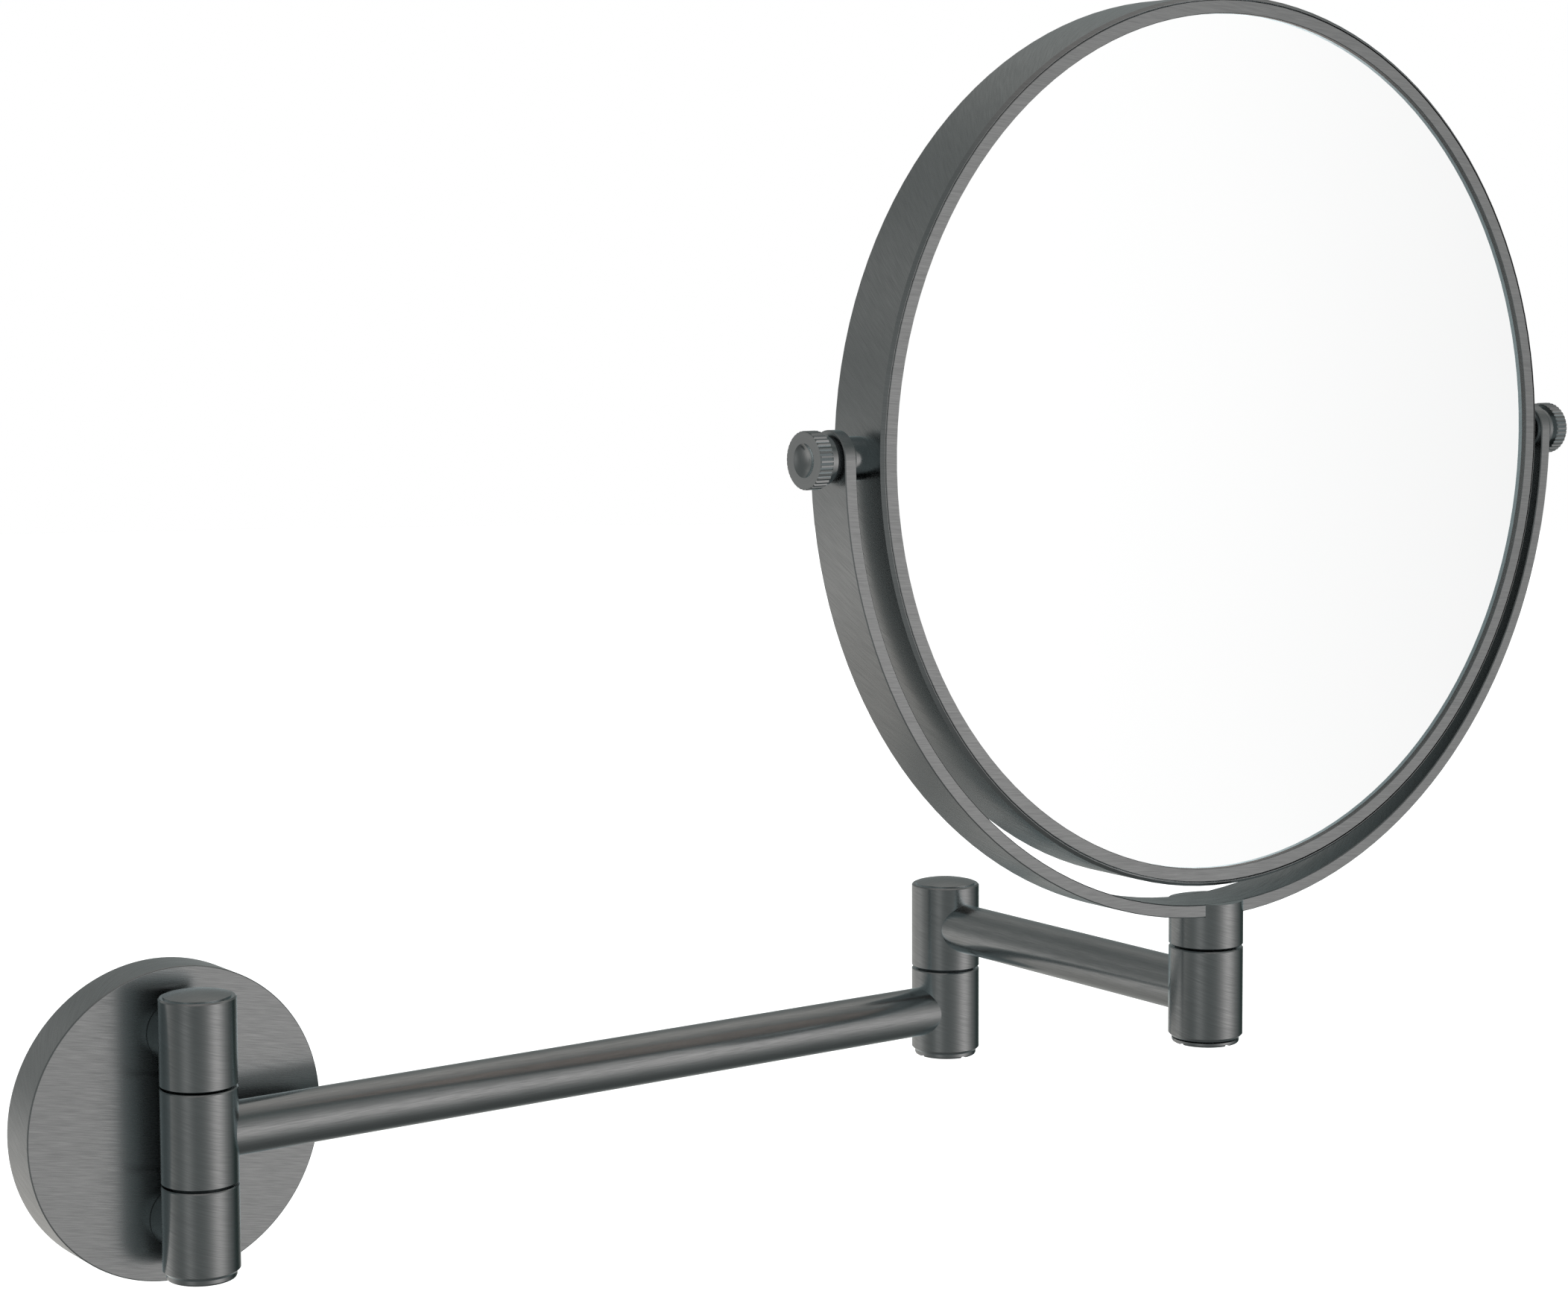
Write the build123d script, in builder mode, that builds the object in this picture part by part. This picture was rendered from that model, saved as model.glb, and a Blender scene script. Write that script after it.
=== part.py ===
"""Wall-mounted extendable shaving mirror: two swing arms, a half-ring yoke and a two-sided round mirror.

Frame, in millimetres: the origin is the centre of the rosette's wall face, +Y points into the wall,
-Y into the room, +Z up and +X to the right for someone who faces the wall. At rest the long arm lies
along +X, the short arm points at the room along -Y, and the mirror stands upright and faces the room.
"""
import os

from build123d import *

# ---------------------------------------------------------------- driving dimensions
MIRROR_D = 200.0          # outside of the mirror's drum
MIRROR_DEPTH = 17.3       # front bezel face to rear bezel face
BEZEL_WIDTH = 4.0         # from the drum's outside to the bezel's inner edge
ROSETTE_D = 70.0
ROSETTE_DEPTH = 11.0
ARM_STANDOFF = 22.0       # wall to the wall hinge's axis
LONG_ARM = 207.0          # wall hinge axis to elbow axis
SHORT_ARM = 96.0          # elbow axis to yoke axis
TUBE_D = 12.0
KNUCKLE_D = 17.0
KNUCKLE_H = 21.0
KNUCKLE_GAP = 0.5         # between stacked knuckles
WALL_KNUCKLE_H = 19.4
MIRROR_RISE = 147.5       # long arm's axis to the mirror's centre
YOKE_INNER_R = 104.7
YOKE_T = 2.9
YOKE_WIDTH = 12.3
KNOB_D = 12.3

# ---------------------------------------------------------------- secondary dimensions
TUBE_WALL = 1.2
SPIGOT_L = 10.0           # spigot of a knuckle inside its tube, past the knuckle's surface
KNUCKLE_CHAMFER = 0.8     # at a stack's lower end
CAP_CHAMFER = 0.35        # at a stack's upper end, round its cap
SEAM_CHAMFER = 0.25       # at the seams inside a stack
PIN_R = 3.0
PIN_EDGE = 0.3
RUNNING = 0.05            # radial clearance of everything that turns
BUSH_R = 4.5
POCKET_R = 6.0            # counterbore that holds a pin's head and its springs
HEAD_R = 5.6
HEAD_H = 2.4
HEAD_EDGE = 0.4
WALL_POCKET = 6.8         # depth of the pockets for heads and springs
ELBOW_POCKET = 7.2
YOKE_POCKET = 5.0
SPRING_STACK = 2.0        # height of the two disc springs
SPRING_T = 0.6
SPRING_CONE = 0.4
SPRING_GAP = 0.2          # what a spring leaves free round a pin or under its seat
WASHER_R = 7.0
WASHER_T = 0.3
CAP_R = 7.45
CAP_EDGE = 0.3
CAP_DOME = 1.0
PLUG_GAP = 0.3            # cap's plug to pin head
NUT_R = 7.7
NUT_ROUND = 0.5
WALL_NUT_T = 1.3          # visible discs of the nuts
ELBOW_NUT_T = 1.2
YOKE_NUT_T = 1.0
YOKE_NUT_GAP = 0.3        # it hangs clear of the knuckle that turns on it
NOTCH_L = 3.5             # spanner notches across a nut's rim
NOTCH_W = 1.6
NOTCH_DEPTH = 0.45
SPANNER_HOLE_R = 0.8
NUT_BOSS_R = 5.0
NUT_BOSS_H = 3.0
THREAD_IN_NUT = 0.5       # how far a pin reaches into its nut's disc
POST_R = 7.0
SCREW_R = 2.0             # M4 screws and studs
SCREW_TIP_GAP = 1.5       # post screw to hinge pin
SCREW_HEX_R = 1.25
HEX_DEPTH = 1.5
GRUB_L = 3.7
GRUB_HEX_R = 1.0
GRUB_RECESS = 0.2
HUB_PIN_L = 6.5           # yoke pin inside the hub
COVER_FACE_T = 2.5
COVER_WALL = 1.5
COVER_ROUND = 0.3
PLATE_T = 6.0
PLATE_GAP = 0.1           # round fixed pieces that slip in
WALL_HOLE_SPACING = 40.0
WALL_HOLE_R = 2.25
LIP_T = 0.8               # drum lip around each bezel
LIP_CHAMFER = 0.7         # on the drum's edges beside them
BEZEL_T = 1.2
BEZEL_SEAM = 0.2
BEZEL_EDGE = 0.15
DRUM_WALL = 2.0
GLASS_T = 3.0
GLASS_R = 97.5
GLASS_EDGE = 0.4
FILM_T = 0.8
FILM_MARGIN = 4.0
MAGNIFIER_R = 900.0       # radius of curvature of the concave mirror
MAGNIFIER_RIM = 3.0
BUSH_FLANGE_R = 4.7
BUSH_ROUND = 0.8          # at the flange's outboard edge
TAB_GAP = 0.3             # pivot bush flange to yoke
TILT_WASHER_R = 4.6
TILT_WASHER_T = 0.6
KNOB_NECK = 0.9           # yoke to the knob's shoulder
KNOB_EDGE = 0.2
STUD_IN_KNOB = 1.2        # past the shoulder
KNOB_SHOULDER_R = 5.3
KNOB_SHOULDER_L = 1.9
KNOB_KNURL_L = 3.4
KNOB_TEETH = 38
TOOTH_DEPTH = 0.33        # of the V grooves between them
DIMPLE_R = 3.6
DIMPLE_DEPTH = 1.5
EDGE = 0.2                # broken edges of the flat strips

# ---------------------------------------------------------------- places worked out from them
knuckle_r = KNUCKLE_D / 2
tube_r = TUBE_D / 2
mirror_r = MIRROR_D / 2
arm_step = KNUCKLE_H + KNUCKLE_GAP
wall_axis = Vector(0, -ARM_STANDOFF, 0)
elbow_axis = Vector(LONG_ARM, -ARM_STANDOFF, 0)
yoke_axis = Vector(LONG_ARM, -ARM_STANDOFF - SHORT_ARM, 0)
mirror_centre = yoke_axis + Vector(0, 0, MIRROR_RISE)
low_bottom, low_top = -KNUCKLE_H / 2, KNUCKLE_H / 2
high_bottom, high_top = low_bottom + arm_step, low_top + arm_step
wall_seam = low_top + KNUCKLE_GAP
wall_top = wall_seam + WALL_KNUCKLE_H
post_z = (wall_seam + wall_top) / 2
hub_bottom = high_top + KNUCKLE_GAP
hub_pin_top = hub_bottom + HUB_PIN_L
face_y = -ROSETTE_DEPTH
cover_inside_y = face_y + COVER_FACE_T
half_depth = MIRROR_DEPTH / 2
bezel_inner_r = mirror_r - BEZEL_WIDTH
bezel_seat = half_depth - BEZEL_T
glass_back = bezel_seat - GLASS_T
yoke_outer_r = YOKE_INNER_R + YOKE_T
UP, DOWN, ROOM, RIGHT, LEFT = (0, 0, 1), (0, 0, -1), (0, -1, 0), (1, 0, 0), (-1, 0, 0)


def at(axis, z):
    """The point on a vertical hinge axis at height z."""
    return (axis.X, axis.Y, z)


def section(origin, along, radial):
    """A plane for a turned profile: its X is the radius and its Y runs along the axis of turning."""
    return Plane(origin=origin, x_dir=radial, z_dir=Vector(*radial).cross(Vector(*along)))


def keep(piece, name):
    """Label a finished piece and write its STEP file."""
    piece.part.label = name
    export_step(piece.part, f"parts/{name}.step")


def turned(origin, along, outline, radial=RIGHT):
    """A turned piece: a closed outline of (radius, distance along the axis) points."""
    with BuildPart() as piece:
        with BuildSketch(section(origin, along, radial)):
            with BuildLine():
                Polyline(*outline, close=True)
            make_face()
        revolve(axis=Axis(origin, along))
    return piece


def drill(origin, along, radius, length, mode=Mode.SUBTRACT):
    """A round hole, or with Mode.ADD a round boss, from origin along a direction."""
    with Locations(Plane(origin=origin, z_dir=along)):
        Cylinder(radius, length, align=(Align.CENTER, Align.CENTER, Align.MIN), mode=mode)


def sphere_over(rim_r, rise):
    """Radius of the sphere that rises by rise over a circle of radius rim_r."""
    return (rim_r ** 2 + rise ** 2) / (2 * rise)


def drop(sphere_r, r):
    """How far a sphere falls away from its pole at radius r."""
    return sphere_r - (sphere_r ** 2 - r ** 2) ** 0.5


os.makedirs("parts", exist_ok=True)


# ---------------------------------------------------------------- rosette and its hidden plate
with BuildPart() as rosette_cover:
    with BuildSketch(Plane.XZ):
        Circle(ROSETTE_D / 2)
    extrude(amount=ROSETTE_DEPTH)
    fillet(rosette_cover.faces().sort_by(Axis.Y)[0].edges(), COVER_ROUND)
    with BuildSketch(Plane.XZ):
        Circle(ROSETTE_D / 2 - COVER_WALL)
    extrude(amount=ROSETTE_DEPTH - COVER_FACE_T, mode=Mode.SUBTRACT)
    with Locations(Plane(origin=(0, cover_inside_y, 0), x_dir=RIGHT, z_dir=(0, 1, 0))):
        with Locations((0, post_z), (0, -post_z)):
            CounterSinkHole(radius=SCREW_R, counter_sink_radius=2 * SCREW_R, depth=COVER_FACE_T)
    drill((0, -PLATE_T / 2, -ROSETTE_D / 2 - 1), UP, SCREW_R, COVER_WALL + 2)
keep(rosette_cover, "rosette_cover")

plate_r = ROSETTE_D / 2 - COVER_WALL - PLATE_GAP
grub_head_z = -ROSETTE_D / 2 + GRUB_RECESS
grub_tip_z = grub_head_z + GRUB_L
with BuildPart() as mounting_plate:
    with BuildSketch(Plane.XZ):
        Circle(plate_r)
    extrude(amount=PLATE_T)
    with Locations(Plane(origin=(0, -PLATE_T, 0), x_dir=RIGHT, z_dir=ROOM)):
        with GridLocations(WALL_HOLE_SPACING, 0, 2, 1):
            CounterSinkHole(radius=WALL_HOLE_R, counter_sink_radius=2 * WALL_HOLE_R, depth=PLATE_T)
    drill((0, -PLATE_T / 2, -plate_r - 1), UP, SCREW_R, grub_tip_z + plate_r + 1)
keep(mounting_plate, "mounting_plate")

with BuildPart() as rosette_grub_screw:
    drill((0, -PLATE_T / 2, grub_head_z), UP, SCREW_R, GRUB_L, Mode.ADD)
    with BuildSketch(Plane(origin=(0, -PLATE_T / 2, grub_head_z), z_dir=UP)):
        RegularPolygon(radius=GRUB_HEX_R, side_count=6, major_radius=False)
    extrude(amount=HEX_DEPTH, mode=Mode.SUBTRACT)
keep(rosette_grub_screw, "rosette_grub_screw")

screw_tip_y = -ARM_STANDOFF + PIN_R + SCREW_TIP_GAP
with BuildPart() as post_screws:
    for z in (post_z, -post_z):
        drill((0, cover_inside_y, z), ROOM, SCREW_R, cover_inside_y - screw_tip_y, Mode.ADD)
        with BuildSketch(Plane(origin=(0, cover_inside_y, z), z_dir=ROOM)):
            Circle(2 * SCREW_R)
        extrude(amount=SCREW_R, taper=45)
        with BuildSketch(Plane(origin=(0, cover_inside_y, z), z_dir=ROOM)):
            RegularPolygon(radius=SCREW_HEX_R, side_count=6, major_radius=False)
        extrude(amount=HEX_DEPTH, mode=Mode.SUBTRACT)
keep(post_screws, "post_screws")

for name, z in (("upper_post", post_z), ("lower_post", -post_z)):
    with BuildPart() as post:
        drill((0, face_y, z), ROOM, POST_R, ARM_STANDOFF - ROSETTE_DEPTH, Mode.ADD)
        chamfer(post.faces().sort_by(Axis.Y)[-1].edges(), SEAM_CHAMFER)
        drill(at(wall_axis, z - ARM_STANDOFF), UP, knuckle_r, 2 * ARM_STANDOFF)
        drill((0, face_y, z), ROOM, SCREW_R, ARM_STANDOFF)
    keep(post, name)


# ---------------------------------------------------------------- knuckles
def knuckle(axis, bottom, top, bore, bottom_chamfer, top_chamfer, pockets=(), spigot=None):
    """One barrel of a hinge. pockets are (radius, floor z, mouth z); a spigot points into its tube."""
    with BuildPart() as piece:
        drill(at(axis, bottom), UP, knuckle_r, top - bottom, Mode.ADD)
        chamfer(piece.faces().sort_by(Axis.Z)[0].edges(), bottom_chamfer)
        chamfer(piece.faces().sort_by(Axis.Z)[-1].edges(), top_chamfer)
        if spigot:
            drill(at(axis, (bottom + top) / 2), spigot, tube_r - TUBE_WALL, knuckle_r + SPIGOT_L, Mode.ADD)
        drill(at(axis, bottom), UP, bore, top - bottom)
        for radius, floor, mouth in pockets:
            drill(at(axis, floor), UP if mouth > floor else DOWN, radius, abs(mouth - floor))
    return piece


wall_pocket_z = wall_top - WALL_POCKET
upper_blank = knuckle(wall_axis, wall_seam, wall_top, PIN_R, SEAM_CHAMFER, CAP_CHAMFER,
                      pockets=[(POCKET_R, wall_pocket_z, wall_top)])
with BuildPart() as upper_wall_knuckle:
    add(upper_blank.part)
    drill((0, face_y, post_z), ROOM, SCREW_R, face_y - screw_tip_y)
keep(upper_wall_knuckle, "upper_wall_knuckle")

lower_blank = knuckle(wall_axis, -wall_top, -wall_seam, PIN_R, KNUCKLE_CHAMFER, SEAM_CHAMFER,
                      pockets=[(NUT_BOSS_R, -wall_top + NUT_BOSS_H, -wall_top)])
with BuildPart() as lower_wall_knuckle:
    add(lower_blank.part)
    drill((0, face_y, -post_z), ROOM, SCREW_R, face_y - screw_tip_y)
keep(lower_wall_knuckle, "lower_wall_knuckle")

long_arm_root_knuckle = knuckle(wall_axis, low_bottom, low_top, BUSH_R, SEAM_CHAMFER, SEAM_CHAMFER,
                                spigot=RIGHT)
keep(long_arm_root_knuckle, "long_arm_root_knuckle")

long_arm_tip_knuckle = knuckle(elbow_axis, low_bottom, low_top, PIN_R, KNUCKLE_CHAMFER, SEAM_CHAMFER,
                               pockets=[(NUT_BOSS_R, low_bottom + NUT_BOSS_H, low_bottom)], spigot=LEFT)
keep(long_arm_tip_knuckle, "long_arm_tip_knuckle")

elbow_pocket_z = high_top - ELBOW_POCKET
short_arm_root_knuckle = knuckle(elbow_axis, high_bottom, high_top, BUSH_R, SEAM_CHAMFER, CAP_CHAMFER,
                                 pockets=[(POCKET_R, elbow_pocket_z, high_top)], spigot=ROOM)
keep(short_arm_root_knuckle, "short_arm_root_knuckle")

yoke_pocket_z = high_bottom + YOKE_POCKET
short_arm_tip_knuckle = knuckle(yoke_axis, high_bottom, high_top, BUSH_R, KNUCKLE_CHAMFER, SEAM_CHAMFER,
                                pockets=[(POCKET_R, yoke_pocket_z, high_bottom)], spigot=(0, 1, 0))
keep(short_arm_tip_knuckle, "short_arm_tip_knuckle")


# ---------------------------------------------------------------- arm tubes, coped over the knuckles
def arm_tube(start, end, z, along):
    length = (end - start).length
    with BuildPart() as tube:
        with BuildSketch(Plane(origin=at(start, z), z_dir=along)):
            Circle(tube_r)
            Circle(tube_r - TUBE_WALL, mode=Mode.SUBTRACT)
        extrude(amount=length)
        for axis in (start, end):
            drill(at(axis, z - KNUCKLE_H), UP, knuckle_r, 2 * KNUCKLE_H)
    return tube


long_arm_tube = arm_tube(wall_axis, elbow_axis, 0, RIGHT)
keep(long_arm_tube, "long_arm_tube")
short_arm_tube = arm_tube(elbow_axis, yoke_axis, arm_step, ROOM)
keep(short_arm_tube, "short_arm_tube")


# ---------------------------------------------------------------- what the hinges hold inside
def headed_pin(axis, bottom, head_z):
    """A hinge pin: its shank up to head_z, and a round head with a chamfer above it."""
    return turned(at(axis, 0), UP, [
        (0, bottom), (PIN_R - PIN_EDGE, bottom), (PIN_R, bottom + PIN_EDGE), (PIN_R, head_z),
        (HEAD_R, head_z), (HEAD_R, head_z + HEAD_H - HEAD_EDGE), (HEAD_R - HEAD_EDGE, head_z + HEAD_H),
        (0, head_z + HEAD_H)])


def sleeve(axis, bottom, top):
    """A plain bearing bush, pressed into its knuckle, that runs on the pin."""
    inner = PIN_R + RUNNING
    return turned(at(axis, 0), UP, [(inner, bottom), (BUSH_R, bottom), (BUSH_R, top), (inner, top)])


def flat_washers(axis, bottoms):
    """Thrust washers in the seams of a hinge."""
    with BuildPart() as washers:
        for bottom in bottoms:
            with BuildSketch(Plane(origin=at(axis, bottom))):
                Circle(WASHER_R)
                Circle(PIN_R + RUNNING, mode=Mode.SUBTRACT)
            extrude(amount=WASHER_T)
    return washers


def disc_springs(axis, bottom):
    """Two conical springs that meet at their outer edges and press the hinge together."""
    inner = PIN_R + SPRING_GAP
    middle = bottom + SPRING_STACK / 2
    with BuildPart() as springs:
        for way in (1, -1):
            inside = middle - way * (SPRING_T + SPRING_CONE)
            outside = middle - way * SPRING_T
            with BuildSketch(section(at(axis, 0), UP, RIGHT)):
                with BuildLine():
                    Polyline((inner, inside), (HEAD_R, outside), (HEAD_R, middle),
                             (inner, inside + way * SPRING_T), close=True)
                make_face()
            revolve(axis=Axis(at(axis, 0), UP))
    return springs


def domed_cap(axis, seat, plug_bottom):
    """A plug with a thin round edge and a shallow dome, on the seat at the top of a knuckle."""
    edge = seat + CAP_EDGE
    pole = edge + CAP_DOME
    half_way = pole - drop(sphere_over(CAP_R, CAP_DOME), CAP_R / 2)
    with BuildPart() as cap:
        with BuildSketch(section(at(axis, 0), UP, RIGHT)):
            with BuildLine():
                Polyline((CAP_R, edge), (CAP_R, seat), (POCKET_R, seat), (POCKET_R, plug_bottom),
                         (0, plug_bottom), (0, pole))
                ThreePointArc((0, pole), (CAP_R / 2, half_way), (CAP_R, edge))
            make_face()
        revolve(axis=Axis(at(axis, 0), UP))
    return cap


def ring_nut(axis, seat, disc_t, notches):
    """A round nut under a knuckle: notched rim, or two spanner holes in its face."""
    bottom = seat - disc_t
    blank = turned(at(axis, 0), UP, [
        (0, bottom), (NUT_R - NUT_ROUND, bottom), (NUT_R - NUT_ROUND / 3, bottom + NUT_ROUND / 3),
        (NUT_R, bottom + NUT_ROUND),
        (NUT_R, seat), (NUT_BOSS_R, seat), (NUT_BOSS_R, seat + NUT_BOSS_H), (PIN_R, seat + NUT_BOSS_H),
        (PIN_R, seat - THREAD_IN_NUT), (0, seat - THREAD_IN_NUT)])
    with BuildPart() as nut:
        add(blank.part)
        if notches:
            with BuildSketch(Plane(origin=at(axis, bottom))):
                with PolarLocations(NUT_R - NOTCH_W / 2, 4):
                    Rectangle(NOTCH_L, NOTCH_W)
            extrude(amount=NOTCH_DEPTH, mode=Mode.SUBTRACT)
        else:
            with BuildSketch(Plane(origin=at(axis, bottom))):
                with PolarLocations(NUT_BOSS_R, 2):
                    Circle(SPANNER_HOLE_R)
            extrude(amount=NOTCH_DEPTH, mode=Mode.SUBTRACT)
    return nut


head_z = wall_pocket_z + SPRING_STACK
keep(headed_pin(wall_axis, -wall_top - THREAD_IN_NUT, head_z), "wall_hinge_pin")
keep(disc_springs(wall_axis, wall_pocket_z), "wall_disc_springs")
keep(domed_cap(wall_axis, wall_top, head_z + HEAD_H + PLUG_GAP), "wall_hinge_cap")
keep(ring_nut(wall_axis, -wall_top, WALL_NUT_T, False), "wall_hinge_nut")
keep(flat_washers(wall_axis, (wall_seam - WASHER_T, -wall_seam)), "wall_thrust_washers")
keep(sleeve(wall_axis, low_bottom, low_top), "long_arm_bush")

elbow_head_z = elbow_pocket_z + SPRING_GAP + SPRING_STACK
keep(headed_pin(elbow_axis, low_bottom - THREAD_IN_NUT, elbow_head_z), "elbow_pin")
keep(disc_springs(elbow_axis, elbow_pocket_z + SPRING_GAP), "elbow_disc_springs")
keep(domed_cap(elbow_axis, high_top, elbow_head_z + HEAD_H + PLUG_GAP), "elbow_cap")
keep(ring_nut(elbow_axis, low_bottom, ELBOW_NUT_T, True), "elbow_nut")
keep(flat_washers(elbow_axis, (low_top,)), "elbow_thrust_washer")
keep(sleeve(elbow_axis, high_bottom, elbow_pocket_z), "elbow_bush")

nut_seat = high_bottom - YOKE_NUT_GAP
yoke_spring_z = nut_seat + NUT_BOSS_H
with BuildPart() as yoke_pin:
    yoke_pin_bottom = nut_seat - THREAD_IN_NUT
    drill(at(yoke_axis, yoke_pin_bottom), UP, PIN_R, hub_pin_top - yoke_pin_bottom, Mode.ADD)
    chamfer(yoke_pin.edges().filter_by(GeomType.CIRCLE), PIN_EDGE)
keep(yoke_pin, "yoke_pin")
keep(ring_nut(yoke_axis, nut_seat, YOKE_NUT_T, True), "yoke_nut")
keep(flat_washers(yoke_axis, (hub_bottom - WASHER_T,)), "yoke_thrust_washer")
keep(sleeve(yoke_axis, yoke_pocket_z, high_top), "yoke_bush")
keep(disc_springs(yoke_axis, yoke_spring_z), "yoke_disc_springs")


# ---------------------------------------------------------------- yoke
mirror_face = Plane(origin=mirror_centre, x_dir=RIGHT, z_dir=ROOM)
with BuildPart() as yoke_hub:
    hub_top = MIRROR_RISE - YOKE_INNER_R + YOKE_T
    drill(at(yoke_axis, hub_bottom), UP, knuckle_r, hub_top - hub_bottom, Mode.ADD)
    chamfer(yoke_hub.faces().sort_by(Axis.Z)[0].edges(), SEAM_CHAMFER)
    with BuildSketch(mirror_face):
        Circle(YOKE_INNER_R)
    extrude(amount=KNUCKLE_D, both=True, mode=Mode.SUBTRACT)
    with BuildSketch(mirror_face):
        Circle(yoke_outer_r)
        Circle(YOKE_INNER_R, mode=Mode.SUBTRACT)
    extrude(amount=YOKE_WIDTH / 2, both=True, mode=Mode.SUBTRACT)
    drill(at(yoke_axis, hub_bottom), UP, PIN_R, hub_pin_top - hub_bottom)
keep(yoke_hub, "yoke_hub")

tab_r = YOKE_WIDTH / 2
sleeve_r = PIN_R          # the pivot bush's sleeve in the yoke's tab
with BuildPart() as yoke_band:
    with BuildSketch(mirror_face):
        Circle(yoke_outer_r)
        Circle(YOKE_INNER_R, mode=Mode.SUBTRACT)
        with Locations((0, yoke_outer_r / 2)):
            Rectangle(2 * yoke_outer_r, yoke_outer_r, mode=Mode.SUBTRACT)
        for side in (-1, 1):
            with Locations((side * (YOKE_INNER_R + YOKE_T / 2), tab_r / 2)):
                Rectangle(YOKE_T, tab_r)
    extrude(amount=tab_r, both=True)
    with BuildSketch(Plane(origin=mirror_centre, x_dir=(0, 1, 0), z_dir=RIGHT)):
        with Locations((0, tab_r)):
            Rectangle(4 * tab_r, 2 * tab_r)
        Circle(tab_r, mode=Mode.SUBTRACT)
    extrude(amount=2 * yoke_outer_r, both=True, mode=Mode.SUBTRACT)
    chamfer(yoke_band.edges().filter_by_position(Axis.Y, mirror_centre.Y - tab_r, mirror_centre.Y - tab_r)
            + yoke_band.edges().filter_by_position(Axis.Y, mirror_centre.Y + tab_r, mirror_centre.Y + tab_r),
            EDGE)
    with BuildSketch(Plane(origin=mirror_centre, z_dir=RIGHT)):
        Circle(sleeve_r + RUNNING)
    extrude(amount=2 * yoke_outer_r, both=True, mode=Mode.SUBTRACT)
keep(yoke_band, "yoke_band")


# ---------------------------------------------------------------- mirror
with BuildPart() as mirror_drum:
    with BuildSketch(mirror_face):
        Circle(mirror_r)
    extrude(amount=half_depth, both=True)
    chamfer(mirror_drum.edges(), LIP_CHAMFER)
    with BuildSketch(mirror_face):
        Circle(mirror_r - DRUM_WALL)
    extrude(amount=MIRROR_DEPTH, both=True, mode=Mode.SUBTRACT)
    for side in (1, -1):
        with BuildSketch(mirror_face.offset(side * bezel_seat)):
            Circle(mirror_r - LIP_T)
        extrude(amount=side * MIRROR_DEPTH, mode=Mode.SUBTRACT)
    with BuildSketch(Plane(origin=mirror_centre, z_dir=RIGHT)):
        Circle(sleeve_r)
    extrude(amount=MIRROR_D, both=True, mode=Mode.SUBTRACT)
keep(mirror_drum, "mirror_drum")

for name, facing in (("front_bezel", -1), ("rear_bezel", 1)):
    bezel = turned(mirror_centre, (0, facing, 0), [
        (bezel_inner_r, bezel_seat), (mirror_r - LIP_T - BEZEL_SEAM, bezel_seat),
        (mirror_r - LIP_T - BEZEL_SEAM, half_depth - BEZEL_EDGE),
        (mirror_r - LIP_T - BEZEL_SEAM - BEZEL_EDGE, half_depth), (bezel_inner_r + BEZEL_EDGE, half_depth),
        (bezel_inner_r, half_depth - BEZEL_EDGE)])
    keep(bezel, name)

plain_mirror = turned(mirror_centre, ROOM, [
    (0, glass_back), (GLASS_R - GLASS_EDGE, glass_back), (GLASS_R, glass_back + GLASS_EDGE),
    (GLASS_R, bezel_seat), (0, bezel_seat)])
keep(plain_mirror, "plain_mirror")

with BuildPart() as plain_mirror_backing:
    with BuildSketch(mirror_face.offset(glass_back - FILM_T)):
        Circle(GLASS_R - FILM_MARGIN)
    extrude(amount=FILM_T)
keep(plain_mirror_backing, "plain_mirror_backing")

hollow_r = GLASS_R - MAGNIFIER_RIM
sag = drop(MAGNIFIER_R, hollow_r)
half_sag = drop(MAGNIFIER_R, hollow_r / 2)
with BuildPart() as magnifying_mirror:
    with BuildSketch(section(mirror_centre, (0, 1, 0), RIGHT)):
        with BuildLine():
            Polyline((hollow_r, bezel_seat), (GLASS_R, bezel_seat), (GLASS_R, glass_back),
                     (hollow_r, glass_back))
            ThreePointArc((hollow_r, glass_back), (hollow_r / 2, glass_back - sag + half_sag),
                          (0, glass_back - sag))
            Line((0, glass_back - sag), (0, bezel_seat - sag))
            ThreePointArc((0, bezel_seat - sag), (hollow_r / 2, bezel_seat - sag + half_sag),
                          (hollow_r, bezel_seat))
        make_face()
    revolve(axis=Axis(mirror_centre, (0, 1, 0)))
keep(magnifying_mirror, "magnifying_mirror")

carrier_outer_r = mirror_r - DRUM_WALL - PLATE_GAP
with BuildPart() as mirror_carrier:
    with BuildSketch(mirror_face):
        Circle(carrier_outer_r)
        Circle(hollow_r, mode=Mode.SUBTRACT)
    extrude(amount=glass_back, both=True)
    with BuildSketch(Plane(origin=mirror_centre, z_dir=RIGHT)):
        Circle(PIN_R)
    extrude(amount=MIRROR_D, both=True, mode=Mode.SUBTRACT)
keep(mirror_carrier, "mirror_carrier")

with BuildPart() as pivot_inserts:
    for side in (RIGHT, LEFT):
        start = mirror_centre + Vector(*side) * hollow_r
        drill(start, side, PIN_R, carrier_outer_r - hollow_r - PLATE_GAP, Mode.ADD)
        drill(start, side, SCREW_R + RUNNING, carrier_outer_r)
keep(pivot_inserts, "pivot_inserts")


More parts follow.
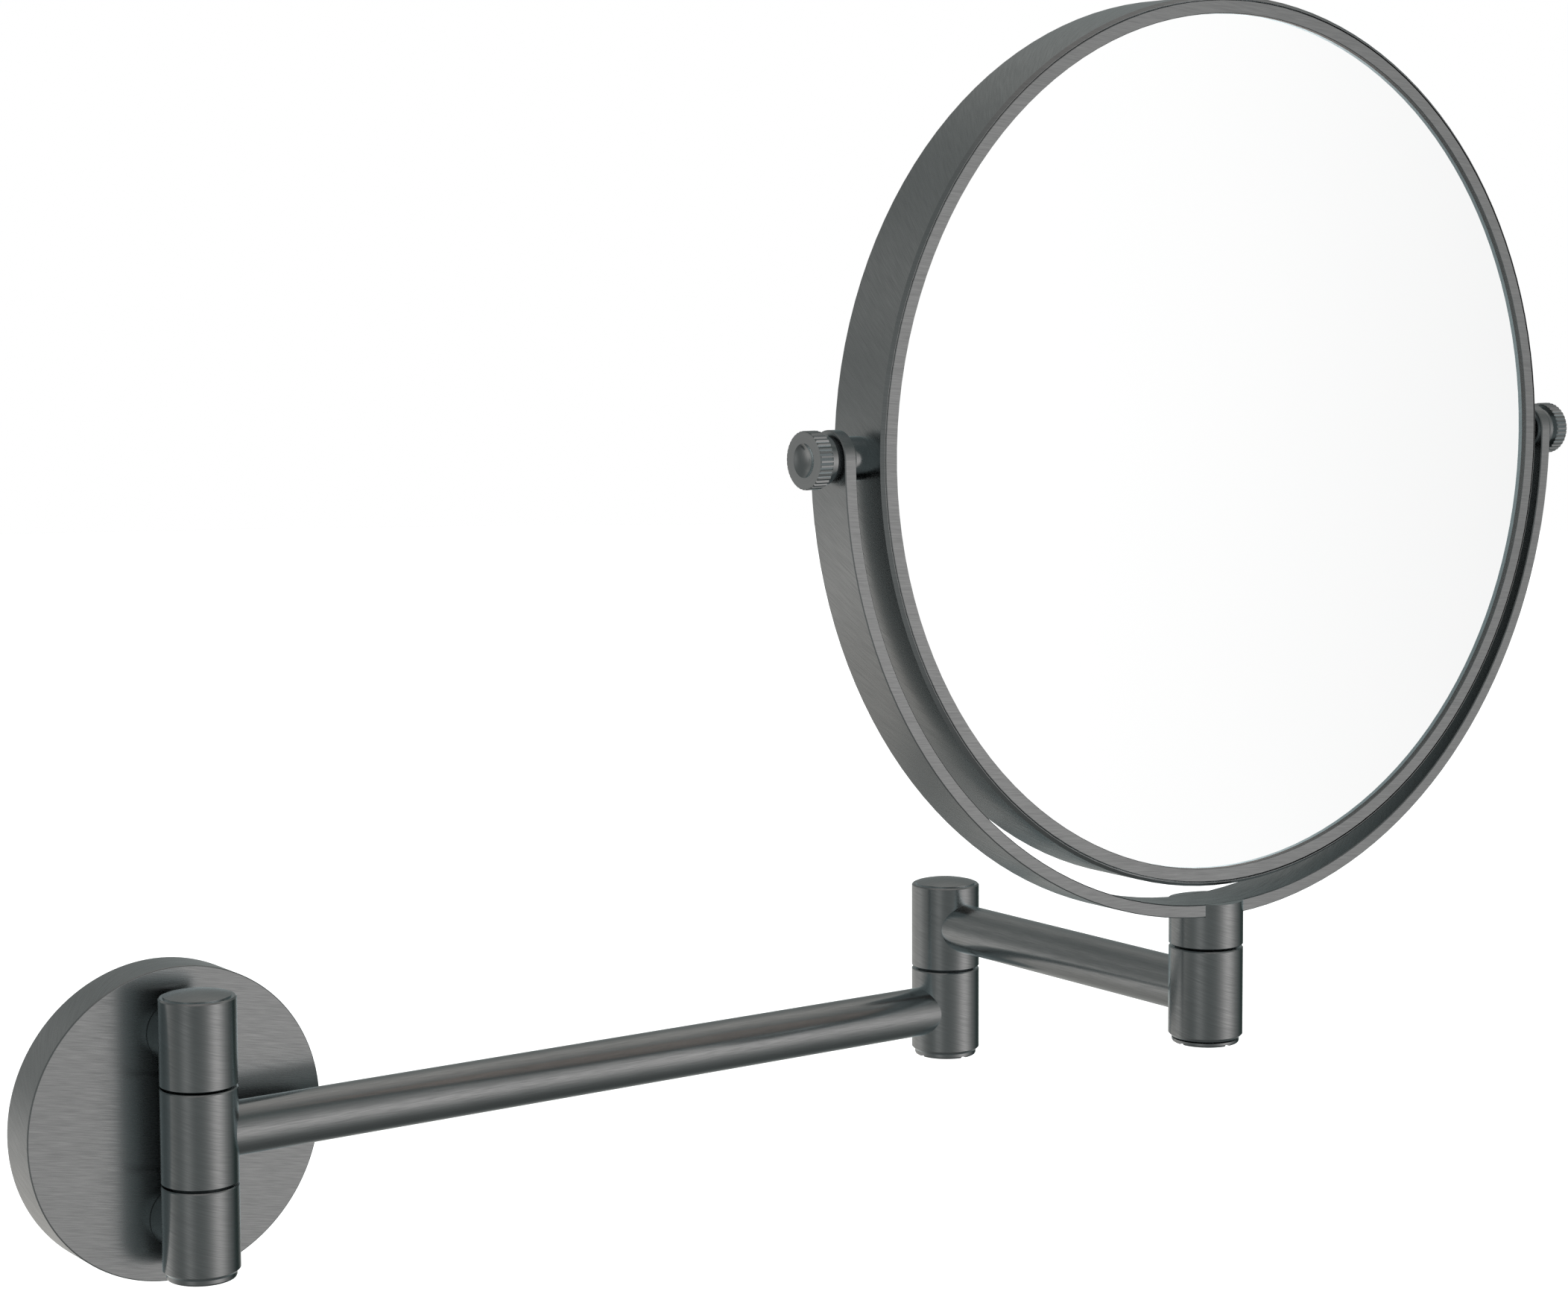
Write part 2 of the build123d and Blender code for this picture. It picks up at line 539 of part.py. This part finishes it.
# ---------------------------------------------------------------- pivots and clamping knobs
def pivot_bush(side):
    """Spacer between drum and yoke: a spigot in the drum, a round flange and the yoke's bearing sleeve."""
    flange_top = YOKE_INNER_R - TAB_GAP
    sleeve_top = yoke_outer_r - PLATE_GAP
    blank = turned(mirror_centre, side, [
        (0, mirror_r - DRUM_WALL / 2), (BUSH_FLANGE_R, mirror_r - DRUM_WALL / 2),
        (BUSH_FLANGE_R, flange_top - BUSH_ROUND),
        (BUSH_FLANGE_R - BUSH_ROUND / 3, flange_top - BUSH_ROUND / 3),
        (BUSH_FLANGE_R - BUSH_ROUND, flange_top), (sleeve_r, flange_top), (sleeve_r, sleeve_top),
        (0, sleeve_top)], UP)
    with BuildPart() as bush:
        add(blank.part)
        with BuildSketch(mirror_face):
            Circle(mirror_r)
        extrude(amount=MIRROR_DEPTH, both=True, mode=Mode.SUBTRACT)
        start = mirror_centre + Vector(*side) * (mirror_r - DRUM_WALL + PLATE_GAP)
        drill(start, side, sleeve_r, DRUM_WALL, Mode.ADD)
        drill(start, side, SCREW_R + RUNNING, MIRROR_D)
    return bush


def tilt_washer(side):
    """Friction washer between the yoke and a knob's shoulder."""
    inner, top = SCREW_R + TAB_GAP, yoke_outer_r + TILT_WASHER_T
    return turned(mirror_centre, side, [
        (inner, yoke_outer_r), (TILT_WASHER_R, yoke_outer_r), (TILT_WASHER_R, top), (inner, top)], UP)


def knob(side):
    """Clamping knob with V grooves round its rim, a stepped shoulder and a hollow in its face."""
    shoulder = yoke_outer_r + KNOB_NECK
    knurl = shoulder + KNOB_SHOULDER_L
    face = knurl + KNOB_KNURL_L
    outer = KNOB_D / 2
    groove = TOOTH_DEPTH * 2 ** 0.5
    hollow = face - DIMPLE_DEPTH
    half_way = hollow + drop(sphere_over(DIMPLE_R, DIMPLE_DEPTH), DIMPLE_R / 2)
    with BuildPart() as piece:
        with BuildSketch(section(mirror_centre, side, UP)):
            with BuildLine():
                Polyline((0, hollow), (0, shoulder), (KNOB_SHOULDER_R - KNOB_EDGE, shoulder),
                         (KNOB_SHOULDER_R, shoulder + KNOB_EDGE), (KNOB_SHOULDER_R, knurl),
                         (outer - KNOB_EDGE, knurl), (outer, knurl + KNOB_EDGE), (outer, face - KNOB_EDGE),
                         (outer - KNOB_EDGE, face), (DIMPLE_R, face))
                ThreePointArc((DIMPLE_R, face), (DIMPLE_R / 2, half_way), (0, hollow))
            make_face()
        revolve(axis=Axis(mirror_centre, side))
        with BuildSketch(Plane(origin=mirror_centre + Vector(*side) * knurl, x_dir=UP, z_dir=side)):
            with PolarLocations(outer, KNOB_TEETH):
                Rectangle(groove, groove, rotation=45)
        extrude(amount=KNOB_KNURL_L, mode=Mode.SUBTRACT)
        drill(mirror_centre + Vector(*side) * shoulder, side, SCREW_R, KNOB_SHOULDER_L + STUD_IN_KNOB)
    return piece


def knob_stud(side):
    """Threaded stud, fixed in its knob, that turns in the mirror's insert."""
    start = hollow_r + PIN_EDGE
    end = yoke_outer_r + KNOB_NECK + KNOB_SHOULDER_L + STUD_IN_KNOB
    return turned(mirror_centre, side, [
        (0, start), (SCREW_R - PIN_EDGE, start), (SCREW_R, start + PIN_EDGE), (SCREW_R, end), (0, end)], UP)


for hand, side in (("left", LEFT), ("right", RIGHT)):
    keep(pivot_bush(side), f"{hand}_pivot_bush")
    keep(tilt_washer(side), f"{hand}_tilt_washer")
    keep(knob(side), f"{hand}_knob")
    keep(knob_stud(side), f"{hand}_knob_stud")
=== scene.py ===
"""Looks of the extendable shaving mirror: brushed graphite metal, silvered glass and plain inner parts."""

import math

import bpy
from mathutils import Matrix, Vector


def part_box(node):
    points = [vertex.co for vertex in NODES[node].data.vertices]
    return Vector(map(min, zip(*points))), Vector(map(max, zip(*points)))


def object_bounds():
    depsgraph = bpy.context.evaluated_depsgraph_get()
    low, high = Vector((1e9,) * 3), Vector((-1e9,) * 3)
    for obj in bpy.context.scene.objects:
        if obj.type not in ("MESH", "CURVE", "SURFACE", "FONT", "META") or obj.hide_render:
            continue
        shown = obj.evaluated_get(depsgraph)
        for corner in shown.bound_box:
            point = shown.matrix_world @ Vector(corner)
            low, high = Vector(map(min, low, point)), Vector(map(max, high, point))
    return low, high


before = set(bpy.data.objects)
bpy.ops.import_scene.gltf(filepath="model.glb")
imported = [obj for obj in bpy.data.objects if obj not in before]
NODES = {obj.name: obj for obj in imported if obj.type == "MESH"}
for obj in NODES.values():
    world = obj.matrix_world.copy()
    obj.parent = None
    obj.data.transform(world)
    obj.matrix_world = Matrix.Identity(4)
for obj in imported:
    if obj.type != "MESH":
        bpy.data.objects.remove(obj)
CAD_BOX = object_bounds()

# ---------------------------------------------------------------- camera

LENS_MM = 75.07
SENSOR_MM = 36.0
CAMERA_AT = (-0.3039, -0.6644, 0.1861)
CAMERA_AZIMUTH = -35.66  # degrees; 0 looks along +Y
CAMERA_PITCH = -4.34
CAMERA_ROLL = -0.2
CAMERA_SHIFT_Y = -0.0798
CLIP = (0.01, 50.0)  # metres


def photo_camera():
    """The camera at the photograph's viewing angle."""
    data = bpy.data.cameras.new("photo_camera")
    data.lens, data.sensor_width = LENS_MM, SENSOR_MM
    data.shift_y = CAMERA_SHIFT_Y
    data.clip_start, data.clip_end = CLIP
    camera = bpy.data.objects.new("photo_camera", data)
    azimuth, pitch, roll = (math.radians(v) for v in (CAMERA_AZIMUTH, CAMERA_PITCH, CAMERA_ROLL))
    ahead = Vector(
        (-math.sin(azimuth) * math.cos(pitch), math.cos(azimuth) * math.cos(pitch), math.sin(pitch))
    )
    level = Vector((math.cos(azimuth), math.sin(azimuth), 0.0))
    above = level.cross(ahead)
    side = level * math.cos(roll) + above * math.sin(roll)
    up = above * math.cos(roll) - level * math.sin(roll)
    turn = Matrix((side, up, -ahead)).transposed().to_4x4()
    camera.matrix_world = Matrix.Translation(CAMERA_AT) @ turn
    bpy.context.scene.collection.objects.link(camera)
    bpy.context.scene.camera = camera


# ---------------------------------------------------------------- node helpers

COLOUR_MIX_INPUTS, COLOUR_MIX_OUTPUT = (0, 6, 7), 2  # the mix node's sockets when it mixes colours
FLOAT_MIX_INPUTS = (0, 2, 3)  # and when it mixes numbers


def add(tree, kind, inputs=None, **settings):
    """A new node. Its inputs take sockets to link, or plain values."""
    made = tree.nodes.new(kind)
    for name, value in settings.items():
        setattr(made, name, value)
    for name, value in (inputs or {}).items():
        if isinstance(value, bpy.types.NodeSocket):
            tree.links.new(value, made.inputs[name])
        else:
            made.inputs[name].default_value = value
    return made


def math_node(tree, operation, *values):
    return add(tree, "ShaderNodeMath", dict(enumerate(values)), operation=operation).outputs[0]


def vector_node(tree, operation, *values):
    return add(tree, "ShaderNodeVectorMath", dict(enumerate(values)), operation=operation)


def ranged(tree, value, low, high, to_low, to_high):
    """value taken from low..high to to_low..to_high, eased and held at both ends."""
    made = add(
        tree,
        "ShaderNodeMapRange",
        {"Value": value, "From Min": low, "From Max": high, "To Min": to_low, "To Max": to_high},
        interpolation_type="SMOOTHSTEP",
    )
    return made.outputs["Result"]


def mixed(tree, factor, first, second):
    """One colour turned into another as factor goes from 0 to 1."""
    made = add(tree, "ShaderNodeMix", data_type="RGBA")
    for socket, value in zip((made.inputs[i] for i in COLOUR_MIX_INPUTS), (factor, first, second)):
        if isinstance(value, bpy.types.NodeSocket):
            tree.links.new(value, socket)
        else:
            socket.default_value = value
    return made.outputs[COLOUR_MIX_OUTPUT]


# ---------------------------------------------------------------- studio

FIRST_REFLECTION = 2  # the ray depth at which the world is seen in one reflection
# Azimuth, elevation, half width and half height in degrees, level, tint. Azimuth 0 is the room in front of
# the wall and 90 is to the right. A level below 0 is a dark flag.
SOFTBOXES = (
    (31, -8, 25, 26, 1.02, (1.035, 1.0, 0.995)),
    (-61, -10, 14, 40, 0.28, (1.0, 1.0, 1.0)),
    (-137, -20, 20, 20, 0.48, (1.0, 1.0, 1.0)),
    (180, -28, 42, 20, 0.44, (1.10, 1.0, 0.92)),
    (-152, 23, 17, 12, 0.22, (1.03, 1.0, 0.97)),
    (-170, -8, 20, 16, 0.25, (1.03, 1.0, 0.97)),
    (118, 52, 34, 16, 0.55, (1.05, 1.0, 0.95)),
    (106, -12, 24, 34, -0.33, (1.0, 1.0, 1.0)),
    (48, 43, 14, 8, -0.20, (1.1, 1.0, 1.0)),
)
LOBE_EDGE = 0.3  # a soft box fades out where the cosine of the angle from its middle is below this
WHITE = (1.0, 1.0, 1.0, 1.0)
ROOM = (0.30, 0.335, 0.335, 1.0)
CEILING, CEILING_FADE = (0.62, 0.61, 0.60, 1.0), (0.80, 0.97)  # the fades are sines of the elevation
BELOW, BELOW_FADE = (0.21, 0.23, 0.23, 1.0), (-0.62, -0.9)
DARKEST = (0.02, 0.022, 0.022)
BETWEEN_PARTS = 1.3  # how much brighter the studio is in the metal's reflections of itself
BEHIND_GLASS = -0.4  # and how much dimmer in its reflections of the mirrors
SHADOW_TINT = (0.85, 1.07, 1.14)  # the colour of what those reflections add or take away
GLASS_SHADE = (66, 0, 15, 70)  # where the glass darkens a little, as azimuth, elevation and half sizes
GLASS_LEVEL, GLASS_DROP = 1.06, 0.5
SUN_POWER, SUN_WIDTH = 3.2, 100  # width in degrees
FLOOR_RADIUS, FLOOR_SIDES, FLOOR_X, FLOOR_DROP = 6.0, 96, 0.1, 0.30
FLOOR_LOOK = {"Base Color": (0.93, 0.93, 0.93, 1.0), "Roughness": 0.9, "Specular IOR Level": 0.1}


def lobe(tree, direction, azimuth, elevation, half_width, half_height):
    """A soft patch of the studio, 1 at its middle and 0 far from it."""
    a, e = math.radians(azimuth), math.radians(elevation)
    middle = Vector((math.sin(a) * math.cos(e), -math.cos(a) * math.cos(e), math.sin(e)))
    along = Vector((math.cos(a), math.sin(a), 0.0)) / math.sin(math.radians(half_width))
    upward = Vector((-math.sin(a) * math.sin(e), math.cos(a) * math.sin(e), math.cos(e)))
    upward /= math.sin(math.radians(half_height))
    across = vector_node(tree, "DOT_PRODUCT", direction, along).outputs["Value"]
    height = vector_node(tree, "DOT_PRODUCT", direction, upward).outputs["Value"]
    facing = vector_node(tree, "DOT_PRODUCT", direction, middle).outputs["Value"]
    squares = math_node(
        tree, "ADD", math_node(tree, "POWER", across, 2.0), math_node(tree, "POWER", height, 2.0)
    )
    bell = math_node(tree, "EXPONENT", math_node(tree, "MULTIPLY", squares, -1.0))
    return math_node(tree, "MULTIPLY", bell, ranged(tree, facing, 0.0, LOBE_EDGE, 0.0, 1.0))


def room_colour(tree, direction):
    """The room, its ceiling and what is below, with the soft boxes in it."""
    height = add(tree, "ShaderNodeSeparateXYZ", {"Vector": direction}).outputs["Z"]
    colour = mixed(tree, ranged(tree, height, *CEILING_FADE, 0.0, 1.0), ROOM, CEILING)
    colour = mixed(tree, ranged(tree, height, *BELOW_FADE, 0.0, 1.0), colour, BELOW)
    for azimuth, elevation, half_width, half_height, level, tint in SOFTBOXES:
        patch = lobe(tree, direction, azimuth, elevation, half_width, half_height)
        glow = vector_node(tree, "SCALE", tuple(level * c for c in tint))
        tree.links.new(patch, glow.inputs["Scale"])
        colour = vector_node(tree, "ADD", colour, glow.outputs["Vector"]).outputs["Vector"]
    return vector_node(tree, "MAXIMUM", colour, DARKEST).outputs["Vector"]


def surroundings():
    """A white backdrop, and what the pieces reflect: the room in metal and a pale room in glass."""
    world = bpy.data.worlds.new("studio")
    bpy.context.scene.world = world
    world.use_nodes = True
    world.cycles.sampling_method = "NONE"
    tree = world.node_tree
    tree.nodes.clear()
    direction = add(tree, "ShaderNodeTexCoord").outputs["Generated"]
    colour = room_colour(tree, direction)
    rays = add(tree, "ShaderNodeLightPath").outputs
    depth, singular = rays["Ray Depth"], rays["Is Singular Ray"]
    limit = FIRST_REFLECTION + 0.5
    first, later = math_node(tree, "LESS_THAN", depth, limit), math_node(tree, "GREATER_THAN", depth, limit)
    shade = math_node(tree, "MULTIPLY", lobe(tree, direction, *GLASS_SHADE), GLASS_DROP)
    pale = math_node(tree, "SUBTRACT", GLASS_LEVEL, shade)
    colour = mixed(tree, math_node(tree, "MULTIPLY", singular, first), colour, pale)
    colour = mixed(tree, rays["Is Camera Ray"], colour, WHITE)
    extra = math_node(tree, "MULTIPLY_ADD", singular, BEHIND_GLASS - BETWEEN_PARTS, BETWEEN_PARTS)
    cool = vector_node(tree, "MULTIPLY", colour, SHADOW_TINT).outputs["Vector"]
    again = vector_node(tree, "SCALE", cool)
    tree.links.new(math_node(tree, "MULTIPLY", later, extra), again.inputs["Scale"])
    colour = vector_node(tree, "ADD", colour, again.outputs["Vector"]).outputs["Vector"]
    background = add(tree, "ShaderNodeBackground", {"Color": colour})
    add(tree, "ShaderNodeOutputWorld", {"Surface": background.outputs[0]})


def light_and_floor():
    """A wide overhead light and a pale floor. Neither shows in the metal."""
    sun = bpy.data.lights.new("overhead_light", "SUN")
    sun.energy, sun.angle = SUN_POWER, math.radians(SUN_WIDTH)
    holder = bpy.data.objects.new("overhead_light", sun)
    holder.visible_glossy = False
    bpy.context.scene.collection.objects.link(holder)

    bpy.ops.mesh.primitive_circle_add(
        vertices=FLOOR_SIDES,
        radius=FLOOR_RADIUS,
        fill_type="NGON",
        location=(FLOOR_X, 0, CAD_BOX[0].z - FLOOR_DROP),
    )
    floor = bpy.context.object
    floor.name = "floor"
    floor.visible_glossy = False
    material, _, shader = fresh("pale_floor")
    for name, value in FLOOR_LOOK.items():
        shader.inputs[name].default_value = value
    floor.data.materials.append(material)


# ---------------------------------------------------------------- materials

LONG = 170.0  # grain per metre along a brush line
FINE, COARSE = 6000.0, 2400.0  # and across the fine and the coarse brush lines
COARSE_SHARE = 0.25
RING_GRAIN = 2 * FINE  # across the rings that a lathe leaves
STREAK = {"Scale": 1.0, "Detail": 2.0, "Roughness": 0.6}
RINGS = {"Scale": 1.0, "Detail": 2.0}
CLOUD = {"Scale": 22.0, "Detail": 2.0}  # broad, faint changes of tone
CLOUD_SHARE = 0.25
NOISE_RANGE = (0.3, 0.7)  # the part of a noise's range that is used
BUMP_DEPTH = 0.00005  # metres
FACING_RANGE = (0.5, 0.8)  # cosines between which one set of brush lines gives way to another
RING_TILT, ROSETTE_TILT = -5, -11  # degrees by which a face's brush lines are off level
RIM_TURN = (-35, 0, 0)  # how the brush lines lie on a rim
BARREL_TURN = (-12, -16, 0)  # and round a barrel
UNTURNED = (0, 0, 0)
GLASS_HAZE = {"Scale": 9.0, "Detail": 3.0}
GLASS_DARK, GLASS_LIGHT = (0.965, 0.97, 0.968, 1.0), (0.985, 0.985, 0.985, 1.0)
PLASTIC_DETAIL, PLASTIC_SPREAD = 3.0, 0.05


def fresh(name):
    """A new material with its node tree and its shader."""
    material = bpy.data.materials.new(name)
    material.use_nodes = True
    tree = material.node_tree
    return material, tree, tree.nodes["Principled BSDF"]


def noise(tree, place, settings):
    """Noise, 0 to 1, at a place on the surface."""
    return add(tree, "ShaderNodeTexNoise", {"Vector": place, **settings}).outputs["Fac"]


def ridged(tree, shader, height, strength):
    """Gives the shader a bump that follows height."""
    ridges = add(tree, "ShaderNodeBump", {"Height": height, "Strength": strength, "Distance": BUMP_DEPTH})
    tree.links.new(ridges.outputs["Normal"], shader.inputs["Normal"])


def streaks(tree, place, turn, grain):
    """Long thin brush lines, 0 to 1. grain is how fine they are along each axis once place is turned."""
    turned = add(
        tree,
        "ShaderNodeVectorRotate",
        {"Vector": place, "Rotation": tuple(math.radians(v) for v in turn)},
        rotation_type="EULER_XYZ",
    ).outputs[0]
    stretched = vector_node(tree, "MULTIPLY", turned, grain).outputs["Vector"]
    return noise(tree, stretched, STREAK)


def metal(name, lines, dark, light, roughness, spread=0.05, bump=0.12, anisotropic=0.0, around=None):
    """Brushed metal. lines(tree, place, facing) makes its brush lines from the coordinates and normals."""
    material, tree, shader = fresh(name)
    coordinates = add(tree, "ShaderNodeTexCoord")
    place = coordinates.outputs["Object"]
    grain = lines(tree, place, coordinates.outputs["Normal"])
    clouds = math_node(tree, "MULTIPLY", noise(tree, place, CLOUD), CLOUD_SHARE)
    tone = math_node(tree, "ADD", math_node(tree, "MULTIPLY", grain, 1.0 - CLOUD_SHARE), clouds)
    colour = mixed(tree, ranged(tree, tone, *NOISE_RANGE, 0.0, 1.0), (*dark, 1.0), (*light, 1.0))
    tree.links.new(colour, shader.inputs["Base Color"])
    gloss = ranged(tree, grain, *NOISE_RANGE, roughness + spread, roughness - spread)
    tree.links.new(gloss, shader.inputs["Roughness"])
    ridged(tree, shader, grain, bump)
    shader.inputs["Metallic"].default_value = 1.0
    if anisotropic:
        tangent = add(tree, "ShaderNodeTangent", direction_type="RADIAL", axis=around)
        tree.links.new(tangent.outputs[0], shader.inputs["Tangent"])
        shader.inputs["Anisotropic"].default_value = anisotropic
    return material


def layered(tree, place, turn, along):
    """Fine and coarse brush lines together. They run along the given axes once place is turned."""
    fine, coarse = (tuple(LONG if axis in along else across for axis in "XYZ") for across in (FINE, COARSE))
    thin = math_node(tree, "MULTIPLY", streaks(tree, place, turn, fine), 1.0 - COARSE_SHARE)
    return math_node(tree, "MULTIPLY_ADD", streaks(tree, place, turn, coarse), COARSE_SHARE, thin)


def by_facing(tree, facing, axis, first, second):
    """second where the surface faces along the axis, first elsewhere."""
    part = add(tree, "ShaderNodeSeparateXYZ", {"Vector": facing}).outputs[axis]
    share = ranged(tree, math_node(tree, "ABSOLUTE", part), *FACING_RANGE, 0.0, 1.0)
    inputs = dict(zip(FLOAT_MIX_INPUTS, (share, first, second)))
    return add(tree, "ShaderNodeMix", inputs, data_type="FLOAT").outputs[0]


def plate_lines(tilt):
    """Nearly level lines on the front and back faces, slanted lines round the rims."""

    def lines(tree, place, facing):
        level = layered(tree, place, (0, tilt, 0), "XY")
        slanted = layered(tree, place, RIM_TURN, "XY")
        return by_facing(tree, facing, "Y", slanted, level)

    return lines


def barrel_lines(tree, place, facing):
    """Nearly level lines round an upright barrel, and lines along X on its ends."""
    around = layered(tree, place, BARREL_TURN, "XY")
    across = layered(tree, place, UNTURNED, "XZ")
    return by_facing(tree, facing, "Z", around, across)


def straight_lines(along):
    """Brush lines along the given axes, all over the piece."""

    def lines(tree, place, facing):
        return layered(tree, place, UNTURNED, along)

    return lines


def turned_lines(centre, axis):
    """Rings about an axis through centre, as a lathe leaves them on an end face and round a rim."""

    def lines(tree, place, facing):
        flat = [1.0, 1.0, 1.0]
        flat["XYZ".index(axis)] = 0.0
        offset = vector_node(tree, "SUBTRACT", place, tuple(centre)).outputs["Vector"]
        radial = vector_node(tree, "MULTIPLY", offset, tuple(flat)).outputs["Vector"]
        radius = vector_node(tree, "LENGTH", radial).outputs["Value"]
        depth = add(tree, "ShaderNodeSeparateXYZ", {"Vector": offset}).outputs[axis]
        rings = add(tree, "ShaderNodeCombineXYZ", {"X": radius, "Y": depth})
        fine = vector_node(tree, "SCALE", rings.outputs[0])
        fine.inputs["Scale"].default_value = RING_GRAIN
        return noise(tree, fine.outputs["Vector"], RINGS)

    return lines


def middle(node):
    low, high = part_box(node)
    return (low + high) / 2


def silvered(name):
    """Mirror glass with a faint haze."""
    material, tree, shader = fresh(name)
    place = add(tree, "ShaderNodeTexCoord").outputs["Object"]
    colour = mixed(tree, noise(tree, place, GLASS_HAZE), GLASS_DARK, GLASS_LIGHT)
    tree.links.new(colour, shader.inputs["Base Color"])
    shader.inputs["Metallic"].default_value = 1.0
    shader.inputs["Roughness"].default_value = 0.0
    return material


def plastic(name, dark, light, roughness, grain, bump):
    """Moulded or painted surface with a fine texture."""
    material, tree, shader = fresh(name)
    place = add(tree, "ShaderNodeTexCoord").outputs["Object"]
    speckle = noise(tree, place, {"Scale": grain, "Detail": PLASTIC_DETAIL})
    tree.links.new(mixed(tree, speckle, (*dark, 1.0), (*light, 1.0)), shader.inputs["Base Color"])
    low, high = roughness - PLASTIC_SPREAD, roughness + PLASTIC_SPREAD
    tree.links.new(ranged(tree, speckle, *NOISE_RANGE, low, high), shader.inputs["Roughness"])
    ridged(tree, shader, speckle, bump)
    return material


GRAPHITE = {"dark": (0.187, 0.187, 0.187), "light": (0.247, 0.246, 0.245), "roughness": 0.22}
ARM_BUMP = 0.07
CAP_ROUGHNESS = 0.3
PLATE = {"dark": (0.194, 0.193, 0.193), "light": (0.24, 0.239, 0.238), "roughness": 0.28, "bump": 0.06}
# The posts get a darker copy of the graphite finish: painted shade for where they sit between the rosette
# and the barrels.
POST_PAINTED_SHADE = {"dark": (0.11, 0.112, 0.112), "light": (0.145, 0.147, 0.146)}
TURNED = {
    "dark": (0.202, 0.202, 0.202),
    "light": (0.233, 0.232, 0.231),
    "roughness": 0.17,
    "spread": 0.02,
    "bump": 0.03,
    "anisotropic": 0.6,
}
STEEL = {"dark": (0.42, 0.42, 0.41), "light": (0.6, 0.6, 0.58), "roughness": 0.35}
BRASS = {"dark": (0.55, 0.38, 0.16), "light": (0.72, 0.52, 0.25), "roughness": 0.3}
ACETAL = {
    "dark": (0.012, 0.012, 0.013),
    "light": (0.022, 0.022, 0.023),
    "roughness": 0.42,
    "grain": 900,
    "bump": 0.2,
}
FILM = {
    "dark": (0.05, 0.055, 0.06),
    "light": (0.075, 0.08, 0.085),
    "roughness": 0.5,
    "grain": 500,
    "bump": 0.15,
}


def graphite(name, lines, **changes):
    """The graphite finish, apart from what changes says."""
    return metal(name, lines, **{**GRAPHITE, **changes})


def dress():
    """Gives each CAD node its finish."""
    plate = graphite("graphite_plate", plate_lines(RING_TILT), **PLATE)
    barrel = graphite("graphite_barrel", barrel_lines)
    steel = metal("zinc_steel", barrel_lines, **STEEL)
    brass = metal("brass", straight_lines("YZ"), **BRASS)
    acetal = plastic("black_acetal", **ACETAL)
    glass = silvered("silvered_glass")
    film = plastic("safety_film", **FILM)
    finishes = {
        plate: ("front_bezel", "rear_bezel", "mirror_drum", "yoke_band"),
        graphite("graphite_rosette", plate_lines(ROSETTE_TILT), **PLATE): ("rosette_cover",),
        barrel: (
            "upper_wall_knuckle lower_wall_knuckle long_arm_root_knuckle long_arm_tip_knuckle "
            "short_arm_root_knuckle short_arm_tip_knuckle yoke_hub"
        ).split(),
        graphite("graphite_long_arm", straight_lines("X"), bump=ARM_BUMP): ("long_arm_tube",),
        graphite("graphite_short_arm", straight_lines("Y"), bump=ARM_BUMP): ("short_arm_tube",),
        # The posts' darker graphite is painted shade, not a different metal.
        graphite("graphite_post_painted_shade", straight_lines("XZ"), **POST_PAINTED_SHADE): ("upper_post", "lower_post"),
        steel: (
            "mounting_plate rosette_grub_screw post_screws wall_hinge_pin wall_disc_springs elbow_pin "
            "elbow_disc_springs yoke_pin yoke_disc_springs left_knob_stud right_knob_stud"
        ).split(),
        brass: ("pivot_inserts",),
        acetal: (
            "wall_thrust_washers long_arm_bush elbow_thrust_washer elbow_bush yoke_bush yoke_thrust_washer "
            "left_tilt_washer right_tilt_washer mirror_carrier"
        ).split(),
        glass: ("plain_mirror", "magnifying_mirror"),
        film: ("plain_mirror_backing",),
    }
    for node in ("wall_hinge_cap", "elbow_cap"):
        finishes[graphite(f"graphite_{node}", barrel_lines, roughness=CAP_ROUGHNESS)] = (node,)
    for axis, nodes in (
        ("Z", ("wall_hinge_nut", "elbow_nut", "yoke_nut")),
        ("X", ("left_knob", "right_knob", "left_pivot_bush", "right_pivot_bush")),
    ):
        for node in nodes:
            lines = turned_lines(middle(node), axis)
            finishes[graphite(f"graphite_{node}", lines, around=axis, **TURNED)] = (node,)
    for material, nodes in finishes.items():
        for node in nodes:
            piece = NODES[node]
            piece.data.materials.clear()
            piece.data.materials.append(material)
    bare = sorted(set(NODES) - {n for nodes in finishes.values() for n in nodes})
    if bare:
        raise ValueError(f"no finish for {bare}")


photo_camera()
surroundings()
light_and_floor()
bpy.context.scene.view_settings.view_transform = "Standard"
dress()
